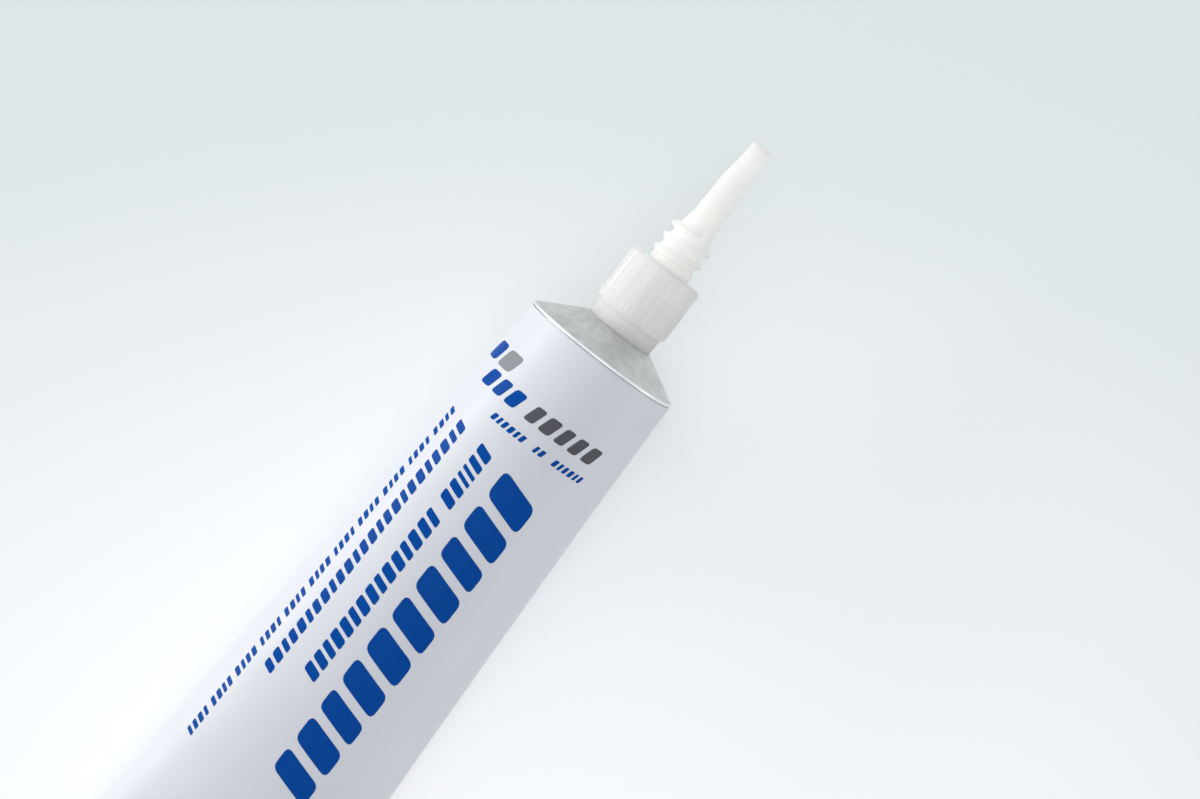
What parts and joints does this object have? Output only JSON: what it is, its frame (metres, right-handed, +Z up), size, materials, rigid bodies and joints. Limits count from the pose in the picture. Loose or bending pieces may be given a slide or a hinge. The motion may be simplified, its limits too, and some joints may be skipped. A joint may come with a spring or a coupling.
{
  "type": "glue tube",
  "caption": "Filled white metal glue tube with a folded end, bare metal shoulder and screw-on white nozzle, lying on its back.",
  "frame": {"origin": "centre of the bounding box's footprint, on the surface the tube lies on", "axes": "+Y from the folded end to the nozzle, +Z up through the printed front, +X to the right seen from above with the nozzle away"},
  "size_m": [0.0396, 0.1774, 0.0252],
  "materials": {
    "coated_aluminium": "gloss white enamel over soft aluminium",
    "nozzle_plastic": "natural white polyethylene, slightly translucent"
  },
  "bodies": {
    "tube": {"tube": "coated_aluminium"},
    "nozzle": {"nozzle": "nozzle_plastic"}
  },
  "joints": [
    {"name": "nozzle_unscrew", "type": "slide", "parent": "tube", "child": "nozzle", "axis": [0, 0.9963, 0.0856], "range_m": [0, 0.03]}
  ]
}
